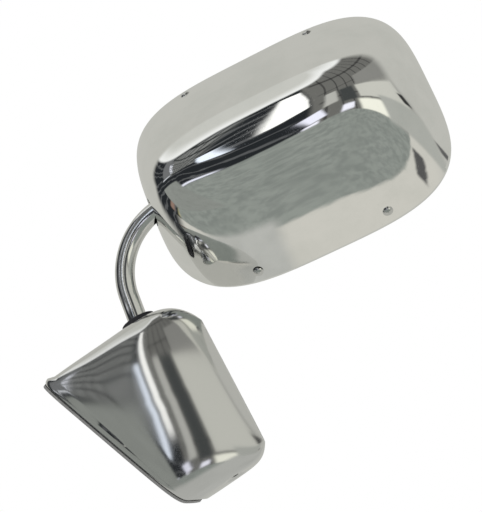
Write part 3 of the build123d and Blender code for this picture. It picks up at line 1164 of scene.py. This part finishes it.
@dataclass
class Arm(SubAssembly):
    """The swinging arm: bent tube, its stem and eye, and the swing joint's hardware.

    Attributes:
        radius: outer radius of the tube.
        bore: inner radius.
        bend: radius of the bend's centre line.
        segments: vertices round the tube.
        bend_steps: steps of the bend.
    """

    radius: float = 7.95 * MM
    bore: float = 6.35 * MM
    bend: float = 57.0 * MM
    segments: int = 72
    bend_steps: int = 40

    def make_tube(self) -> Piece:
        """Chromed tube: upright, a quarter bend, then level.

        Returns:
            The tube.
        """
        low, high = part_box("arm_tube")
        foot = Vector((low.x + self.radius, 0, low.z))
        level = high.z - self.radius
        mesh = bmesh.new()
        made = bmesh.ops.create_circle(mesh, radius=self.radius, segments=self.segments)
        bmesh.ops.translate(mesh, verts=made["verts"], vec=foot)
        edges = mesh.edges[:]
        edges = self._pushed(mesh, edges, Vector((0, 0, level - self.bend - foot.z)))
        centre = Vector((foot.x + self.bend, 0, level - self.bend))
        verts = list({v for e in edges for v in e.verts})
        turned = bmesh.ops.spin(
            mesh, geom=verts + edges, cent=centre, axis=(0, 1, 0), angle=math.radians(90),
            steps=self.bend_steps, use_merge=False,
        )["geom_last"]
        last = [part for part in turned if isinstance(part, BMEdge)]
        self._pushed(mesh, last, Vector((high.x - centre.x, 0, 0)))
        bmesh.ops.remove_doubles(mesh, verts=mesh.verts[:], dist=MERGE)
        bmesh.ops.recalc_face_normals(mesh, faces=mesh.faces[:])
        tube = as_object(mesh, "arm_tube_skin")
        wall = tube.modifiers.new("wall", "SOLIDIFY")
        wall.thickness = self.radius - self.bore
        wall.offset = -1.0
        return tube

    @staticmethod
    def _pushed(mesh: BMesh, edges: "list[BMEdge]", way: Vector) -> "list[BMEdge]":
        """Extrude a ring of edges along a way.

        Args:
            mesh: the bmesh.
            edges: the ring's edges.
            way: how far it goes.

        Returns:
            The new ring's edges.
        """
        made = bmesh.ops.extrude_edge_only(mesh, edges=edges)["geom"]
        verts = [part for part in made if isinstance(part, BMVert)]
        bmesh.ops.translate(mesh, verts=verts, vec=way)
        fresh = set(verts)
        edges = [part for part in made if isinstance(part, BMEdge)]
        return [edge for edge in edges if set(edge.verts) <= fresh]

    def build(self) -> None:
        """Build the tube and dress the pieces of the arm."""
        self.add(self.make_tube(), TUBE_CHROME, Body.ARM, Slot.TUBE_CHROME, "arm_tube")
        self.keep(ZINC, "arm_stem", "arm_eye")
        self.keep(ZINC, "swing_collar", "swing_washer", "swing_cup", "swing_nut")
        self.keep(SPRING, "swing_spring")


@dataclass
class Knuckle(SubAssembly):
    """The knuckle between arm and head, with the hardware of its two pivots."""

    def build(self) -> None:
        """Dress the pieces of the knuckle."""
        self.keep(ZINC, "knuckle_yoke", "turn_pin", "turn_washer", "turn_nut")
        self.keep(ZINC, "tilt_washer_inner", "tilt_washer_outer", "tilt_cup", "tilt_nut")
        self.keep(SPRING, "tilt_spring")


# ---- surroundings ----


@dataclass(frozen=True)
class Patch:
    """A soft-edged patch of the room, by direction in degrees.

    Attributes:
        sideways: limits round the horizon, 0 straight ahead of the head and + outboard.
        upright: limits above the horizon.
        colour: linear colour.
        soft: half width of its soft edges.
        lean: degrees sideways per degree up.
    """

    sideways: Pair
    upright: Pair
    colour: Colour
    soft: float = 1.0
    lean: float = 0.0


@dataclass(frozen=True)
class Stripes:
    """Soft parallel stripes on the room's walls.

    Attributes:
        across: radians per degree sideways.
        up: radians per degree up.
        drift: radians that the clouds push them.
        edge: sine at which a stripe begins and at which it is full.
        phase: radians that they are shifted.
    """

    across: float
    up: float
    drift: float
    edge: Pair
    phase: float = 0.0

    def mask(self, sideways: Value, upright: Value, cloud: Value) -> Value:
        """Where the stripes are.

        Args:
            sideways: degrees round the horizon.
            upright: degrees above the horizon.
            cloud: noise by direction.

        Returns:
            1 on a stripe and 0 between two.
        """
        turn = sideways * self.across + upright * self.up + cloud * self.drift + self.phase
        return turn.sine().step(*self.edge)


@dataclass
class Room:
    """What the chrome mirrors: a workshop wall with lit windows over a grey-green floor.

    Directions are in degrees: sideways round the horizon, 0 straight ahead of the head and +
    outboard, and upright above the horizon.

    Attributes:
        backdrop: colour behind the object.
        fill: light on matt surfaces.
        wall: wall on the inboard side.
        outboard_wall: wall on the outboard side.
        ground: floor in front of the object.
        damp: darker colour of the floor's mottling.
        table: pale surface under the object.
        ceiling: roof.
        cornice: bright edge of the roof.
        behind: all that lies behind the head.
        skirting: bright line where the inboard wall meets the floor.
        streak, post, sash: colours of the streaks, posts and beams, and window frames.
        streaks: pale streaks on the inboard wall.
        posts: dark posts on the outboard wall.
        beams: limits and softness of its dark beams.
        frames: window frames on the inboard wall.
        frames_area: limits and softness of the part that they cover.
        horizon: the floor's edge at its highest and its drop per degree sideways.
        horizon_middle: where sideways it is highest.
        horizon_soft: degrees over which the floor sets in.
        skirting_area: limits and softness of the skirting, above the floor's edge and sideways.
        table_edge, table_end: where the table sets in, by direction along Y, and where it ends.
        roof: the roof's edge inboard and its rise outboard.
        roof_run: where sideways it rises.
        cornice_edge, ceiling_edge: degrees past the roof's edge over which each sets in.
        behind_edge: degrees sideways over which all that lies behind sets in.
        patches: windows, shadows and lights, painted over the walls.
        marks: those painted over everything.
        bench_front, bench_top: colours of the cards near the base.
        fade: half width of the cards' soft edges.
        floor_drop: how far the floor lies below the object.
    """

    backdrop: Colour = (1.0, 1.0, 1.0, 1)
    fill: Colour = (0.8, 0.8, 0.8, 1)
    wall: Colour = (0.02, 0.023, 0.026, 1)
    outboard_wall: Colour = (0.16, 0.16, 0.15, 1)
    ground: Colour = (0.3, 0.325, 0.3, 1)
    table: Colour = (0.62, 0.61, 0.56, 1)
    ceiling: Colour = (0.6, 0.605, 0.57, 1)
    cornice: Colour = (0.93, 0.94, 0.93, 1)
    behind: Colour = (0.53, 0.53, 0.495, 1)
    skirting: Colour = (0.95, 0.97, 1.1, 1)
    damp: Colour = (0.215, 0.235, 0.22, 1)
    streak: Colour = (0.16, 0.165, 0.17, 1)
    post: Colour = (0.035, 0.035, 0.035, 1)
    sash: Colour = (0.02, 0.024, 0.024, 1)
    streaks: Stripes = Stripes(0.15, 0.55, 9.0, (0.45, 0.95))
    posts: Stripes = Stripes(math.pi / 5.5, -0.06 * math.pi / 5.5, 0.0, (0.86, 0.97), -1.9)
    beams: "tuple[Band, ...]" = ((59, 62, 0.8), (1, 4, 1.2), (30, 31.5, 0.7))
    frames: "tuple[Stripes, Stripes]" = (
        Stripes(1.5, -0.35, 3.0, (0.5, 0.95)),
        Stripes(0.4, 0.75, 3.0, (0.6, 0.97)),
    )
    frames_area: "tuple[Band, ...]" = ((-42, -13.5, 1.5), (9, 58, 2))
    horizon: Pair = (-22.5, -0.2)
    horizon_middle: float = -5.0
    horizon_soft: Pair = (-1.2, 1.2)
    skirting_area: "tuple[Band, Band]" = ((0.6, 2.6, 0.9), (-46, -16, 2.0))
    table_edge: Pair = (-0.2, -0.18)
    table_end: Pair = (-40, -30)
    roof: Pair = (58.5, 18.0)
    roof_run: Pair = (-16, 36)
    cornice_edge: Pair = (-1.5, 2.0)
    ceiling_edge: Pair = (1.0, 13.0)
    behind_edge: Pair = (88, 104)
    bench_front: Colour = (0.285, 0.3, 0.28, 1)
    bench_top: Colour = (0.5, 0.505, 0.48, 1)
    fade: float = 12 * MM
    floor_drop: float = 0.25
    patches: "tuple[Patch, ...]" = (
        Patch((-40, -14), (9, 56), (0.23, 0.235, 0.23, 1), 2.5),
        Patch((-62, -38), (9.5, 13.5), (0.62, 0.64, 0.68, 1), 1.2),
        Patch((-60, -40), (14, 60), (0.17, 0.175, 0.18, 1), 2.0),
        Patch((-39, -33.5), (17, 48), (0.85, 0.87, 0.95, 1), 1.5, -0.1),
        Patch((-13.5, -9.5), (1, 22), (1.0, 1.08, 1.22, 1), 0.8, -0.02),
        Patch((-7.0, -1.0), (8, 56), (1.25, 1.25, 1.22, 1), 0.6),
        Patch((-4.5, 1.5), (-20, -8), (0.95, 0.96, 1.1, 1), 1.0, -0.2),
        Patch((-2.0, 2.5), (-25, -21), (1.0, 1.0, 1.12, 1), 0.7),
        Patch((5, 14), (-8, 22), (0.5, 0.5, 0.47, 1), 1.5, 0.1),
        Patch((17, 33), (-13, 21), (0.06, 0.065, 0.065, 1), 2.0, 0.1),
        Patch((37, 95), (-10, 21), (0.6, 0.6, 0.55, 1), 2.0, 0.1),
        Patch((40, 120), (21, 42), (0.26, 0.26, 0.245, 1), 2.0, 0.1),
        Patch((21, 32), (-26, -18), (1.0, 1.0, 1.12, 1), 1.5, 0.3),
        Patch((32, 95), (-35, -14), (0.95, 0.95, 0.84, 1), 3.0),
        Patch((-75, -48), (-31, -26), (0.3, 0.2, 0.16, 1), 1.5),
        Patch((-75, -50), (-39, -35), (0.5, 0.47, 0.25, 1), 1.5),
    )
    marks: "tuple[Patch, ...]" = (
        Patch((60, 100), (-38, -5), (0.43, 0.44, 0.41, 1), 3.0),
        Patch((75, 83), (-61, -47), (0.1, 0.1, 0.1, 1), 1.5),
        Patch((101, 107), (-24, -18), (0.12, 0.12, 0.12, 1), 1.5),
        Patch((92, 98), (-2, 9), (0.04, 0.04, 0.04, 1), 1.5),
    )

    @staticmethod
    def _patched(
        recipe: Recipe,
        paint: Socket,
        patches: "Sequence[Patch]",
        sideways: Value,
        upright: Value,
    ) -> Socket:
        """Paint patches over the room.

        Args:
            recipe: the world's node tree.
            paint: the room's colour so far.
            patches: the patches, in order.
            sideways: degrees round the horizon.
            upright: degrees above the horizon.

        Returns:
            The colour socket.
        """
        for patch in patches:
            across = sideways - upright * patch.lean if patch.lean else sideways
            mask = across.band(*patch.sideways, patch.soft)
            mask = mask * upright.band(*patch.upright, patch.soft)
            paint = recipe.blend(mask, paint, patch.colour)
        return paint

    def _walls(self, recipe: Recipe, sideways: Value, upright: Value, cloud: Value) -> Socket:
        """The room's walls with their streaks, roof frames and windows.

        Args:
            recipe: the world's node tree.
            sideways: degrees round the horizon.
            upright: degrees above the horizon.
            cloud: noise by direction.

        Returns:
            The colour socket.
        """
        here = (sideways, upright, cloud)
        paint = recipe.blend(sideways.step(-1.5, 1.0), self.wall, self.outboard_wall)
        streaks = self.streaks.mask(*here) * (1 - sideways.step(-6, -1))
        paint = recipe.blend(streaks * 0.6, paint, self.streak)
        lines = self.posts.mask(*here)
        for beam in self.beams:
            lines = lines + upright.band(*beam)
        paint = recipe.blend(lines * sideways.step(1.5, 4.0) * 0.75, paint, self.post)
        paint = self._patched(recipe, paint, self.patches, sideways, upright)
        frames = self.frames[0].mask(*here) + self.frames[1].mask(*here)
        near = sideways.band(*self.frames_area[0]) * upright.band(*self.frames_area[1])
        return recipe.blend(frames * near * 0.9, paint, self.sash)

    def _pattern(self, recipe: Recipe) -> Socket:
        """The room by direction.

        Args:
            recipe: the world's node tree.

        Returns:
            The colour socket.
        """
        way = recipe.node("ShaderNodeTexCoord").outputs["Generated"]
        parts = recipe.node("ShaderNodeSeparateXYZ", None, {"Vector": way}).outputs
        x, y, z = (Value(recipe, part) for part in parts)
        sideways = x.arctan_degrees(y * -1.0)
        upright = z.arcsine_degrees()
        cloud = recipe.noise(way, 4.0, 6.0)
        paint = self._walls(recipe, sideways, upright, cloud)
        highest, drop = self.horizon
        past_floor = upright - (abs(sideways - self.horizon_middle) * drop + highest)
        mottle = recipe.noise(way, 5.0, 20.0, 0.62)
        ground = recipe.blend(mottle.step(0.36, 0.66) * 0.8, self.ground, self.damp)
        paint = recipe.blend(1 - past_floor.step(*self.horizon_soft), paint, ground)
        line, reach = self.skirting_area
        paint = recipe.blend(past_floor.band(*line) * sideways.band(*reach), paint, self.skirting)
        under = (y + mottle * 0.02 - 0.01).step(*self.table_edge)
        paint = recipe.blend(under * (1 - upright.step(*self.table_end)), paint, self.table)
        inboard, rise = self.roof
        past_roof = upright - (sideways.step(*self.roof_run) * rise + inboard)
        paint = recipe.blend(past_roof.step(*self.cornice_edge), paint, self.cornice)
        paint = recipe.blend(past_roof.step(*self.ceiling_edge), paint, self.ceiling)
        paint = recipe.blend(abs(sideways).step(*self.behind_edge), paint, self.behind)
        return self._patched(recipe, paint, self.marks, sideways, upright)

    def make_world(self) -> None:
        """Write the world: the room for reflections, a plain fill, a white backdrop."""
        world = bpy.data.worlds.new("studio")
        bpy.context.scene.world = world
        recipe = Recipe(world)
        path = recipe.node("ShaderNodeLightPath").outputs
        seen = recipe.blend(Value(recipe, path["Is Glossy Ray"]), self.fill, self._pattern(recipe))
        seen = recipe.blend(Value(recipe, path["Is Camera Ray"]), seen, self.backdrop)
        light = recipe.node("ShaderNodeBackground", None, {"Color": seen, "Strength": 1.0})
        recipe.node("ShaderNodeOutputWorld", None, {"Surface": light.outputs[0]})

    def make_floor(self) -> None:
        """Plain pale floor well below the part."""
        mesh = bmesh.new()
        bmesh.ops.create_grid(mesh, x_segments=1, y_segments=1, size=4.0)
        down = (0, 0, CAD_BOX[0].z - self.floor_drop)
        bmesh.ops.translate(mesh, verts=mesh.verts[:], vec=down)
        floor = as_object(mesh, "floor")
        material = bpy.data.materials.new("pale_floor")
        recipe = Recipe(material)
        matt = recipe.node("ShaderNodeBsdfDiffuse", None, {"Color": (0.8, 0.8, 0.8, 1)})
        glow = recipe.node("ShaderNodeEmission", None, {"Color": self.backdrop, "Strength": 0.35})
        both = recipe.node("ShaderNodeAddShader", None, {0: matt.outputs[0], 1: glow.outputs[0]})
        recipe.finish_surface(both.outputs[0])
        floor.data.materials.append(material)
        floor.visible_glossy = False

    def make_card(self, name: str, low: Vector, high: Vector, colour: Colour) -> None:
        """Card near the base that only its reflections see, fading out towards its edges.

        Args:
            name: object name.
            low: lower corner; the card is flat along the axis where both corners agree.
            high: upper corner.
            colour: its light.
        """
        mesh = bmesh.new()
        bmesh.ops.create_grid(mesh, x_segments=1, y_segments=1, size=1.0)
        size = high - low
        for vert in mesh.verts:
            u, v = (vert.co.x + 1) / 2, (vert.co.y + 1) / 2
            vert.co = low + Vector((u * size.x, v * size.y, v * size.z))
        card = as_object(mesh, name)
        material = bpy.data.materials.new(name)
        recipe = Recipe(material)
        cloud = recipe.noise(recipe.place(18), 4.0)
        tint = recipe.blend(cloud.step(0.35, 0.7) * 0.4, colour, [0.75 * c for c in colour])
        glow = recipe.node("ShaderNodeEmission", None, {"Color": tint, "Strength": 1.0})
        clear = recipe.node("ShaderNodeBsdfTransparent")
        here = recipe.node("ShaderNodeTexCoord").outputs["Object"]
        parts = recipe.node("ShaderNodeSeparateXYZ", None, {"Vector": here}).outputs
        share = 1.0
        for part, a, b in zip(parts, low, high):
            if b > a:
                share = Value(recipe, part).band(a + self.fade, b - self.fade, self.fade) * share
        layers = {0: share, 1: clear.outputs[0], 2: glow.outputs[0]}
        recipe.finish_surface(recipe.node("ShaderNodeMixShader", None, layers).outputs[0])
        card.data.materials.append(material)
        card.visible_camera = card.visible_diffuse = card.visible_shadow = False

    def make_cards(self) -> None:
        """Pale bench under the base and its grey-green front."""
        floor = CAD_BOX[0].z
        low, high = Vector((-0.5, -0.3, floor - 0.3)), Vector((-0.035, -0.3, 0.084))
        self.make_card("bench_front", low, high, self.bench_front)
        low, high = Vector((-0.12, -0.072, floor - 0.012)), Vector((0.16, 0.08, floor - 0.012))
        self.make_card("bench_top", low, high, self.bench_top)

    def make_lamps(self) -> None:
        """Two soft lamps that model the matt pieces."""
        middle = (CAD_BOX[0] + CAD_BOX[1]) / 2
        for name, away, power, size in (
            ("key_lamp", Vector((-0.9, -1.3, 1.5)), 16.0, 1.2),
            ("fill_lamp", Vector((1.4, 1.1, 0.9)), 9.0, 1.4),
        ):
            data = bpy.data.lights.new(name, "AREA")
            data.energy, data.size = power, size
            lamp = bpy.data.objects.new(name, data)
            lamp.location = middle + away
            lamp.rotation_euler = (-away).to_track_quat("-Z", "Y").to_euler()
            lamp.visible_glossy = False
            bpy.context.scene.collection.objects.link(lamp)

    def build(self) -> None:
        """Build the whole setting."""
        self.make_world()
        self.make_floor()
        self.make_cards()
        self.make_lamps()
        scene = bpy.context.scene
        scene.view_settings.view_transform = "Standard"


@dataclass
class Camera:
    """The camera.

    Attributes:
        azimuth: degrees outboard of straight ahead.
        elevation: degrees above the horizon.
        roll: degrees that the picture is turned.
        distance: from the point looked at.
        target: point looked at, from the middle of the CAD box.
        lens: focal length on a 36 mm sensor.
    """

    azimuth: float = 10.8
    elevation: float = -16.3
    roll: float = 22.3
    distance: float = 884 * MM
    target: Vector = field(default_factory=lambda: Vector((-6.52, 20.35, 4.7)) * MM)
    lens: float = 78.33

    def build(self) -> None:
        """Make the camera and set it as the scene's."""
        a, e, r = (math.radians(d) for d in (self.azimuth, self.elevation, self.roll))
        back = Vector((math.sin(a) * math.cos(e), -math.cos(a) * math.cos(e), math.sin(e)))
        right = Vector((math.cos(a), math.sin(a), 0))
        up = back.cross(right)
        across = math.cos(r) * right - math.sin(r) * up
        upward = math.sin(r) * right + math.cos(r) * up
        eye = (CAD_BOX[0] + CAD_BOX[1]) / 2 + self.target + back * self.distance
        data = bpy.data.cameras.new("camera")
        data.lens = self.lens
        data.sensor_width = 36.0
        data.clip_start, data.clip_end = 0.01, 50.0
        camera = bpy.data.objects.new("camera", data)
        bpy.context.scene.collection.objects.link(camera)
        rows = [(across[i], upward[i], back[i], eye[i]) for i in range(3)]
        camera.matrix_world = Matrix((*rows, (0, 0, 0, 1)))
        bpy.context.scene.camera = camera


def main() -> None:
    """Build every sub-assembly, then the setting and the camera."""
    for part in (BaseMount(), Arm(), Knuckle(), Head()):
        part.build()
        for name in part.dressed:
            log.info("%s: %s", type(part).__name__, name)
    Room().build()
    Camera().build()


if __name__ == "__main__":
    main()
